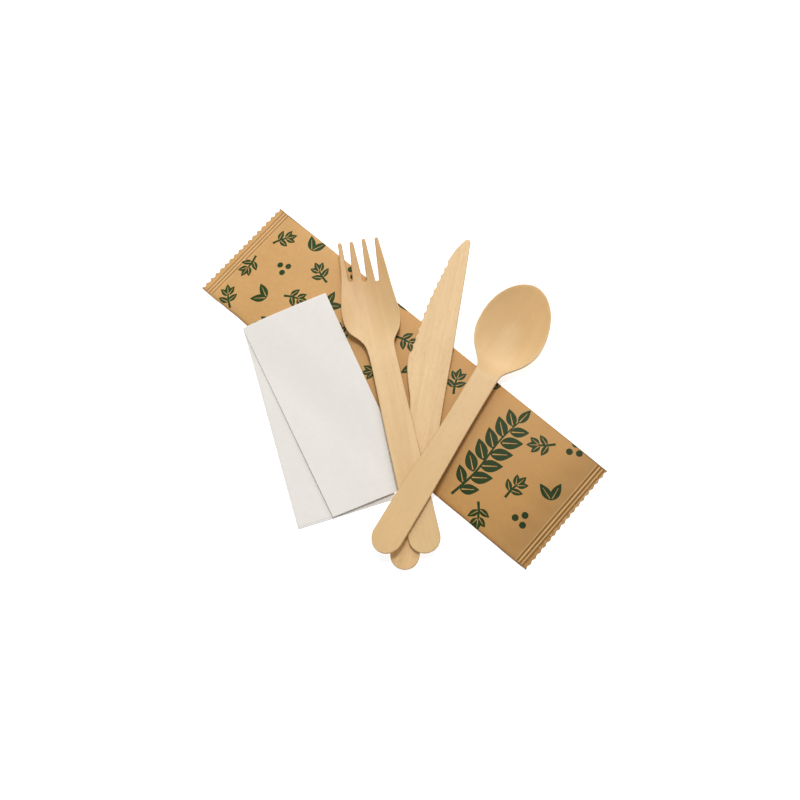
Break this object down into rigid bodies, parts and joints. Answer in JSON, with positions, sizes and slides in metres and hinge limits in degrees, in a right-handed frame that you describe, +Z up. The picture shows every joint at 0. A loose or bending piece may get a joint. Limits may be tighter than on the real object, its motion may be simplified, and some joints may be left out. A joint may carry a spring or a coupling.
{
  "type": "wooden cutlery set",
  "caption": "Disposable birch-veneer knife, fork and spoon fanned out on a folded paper napkin and a sealed flat kraft-paper sachet.",
  "frame": {"origin": "middle of the base of the whole set's box, on the table", "axes": "+Z up from the table, +X to the right as the set is seen, along its longer side, and +Y away from the handle ends, towards the heads"},
  "size_m": [0.1952, 0.1826, 0.0087],
  "materials": {
    "kraft_paper": "matt printed kraft paper",
    "tissue_paper": "soft matt tissue",
    "birch_knife": "smooth bare veneer",
    "birch_fork": "smooth bare veneer",
    "birch_spoon": "smooth bare veneer"
  },
  "bodies": {
    "root": {"kraft_sachet": "kraft_paper", "napkin": "tissue_paper", "knife": "birch_knife", "fork": "birch_fork", "spoon": "birch_spoon"}
  },
  "joints": []
}
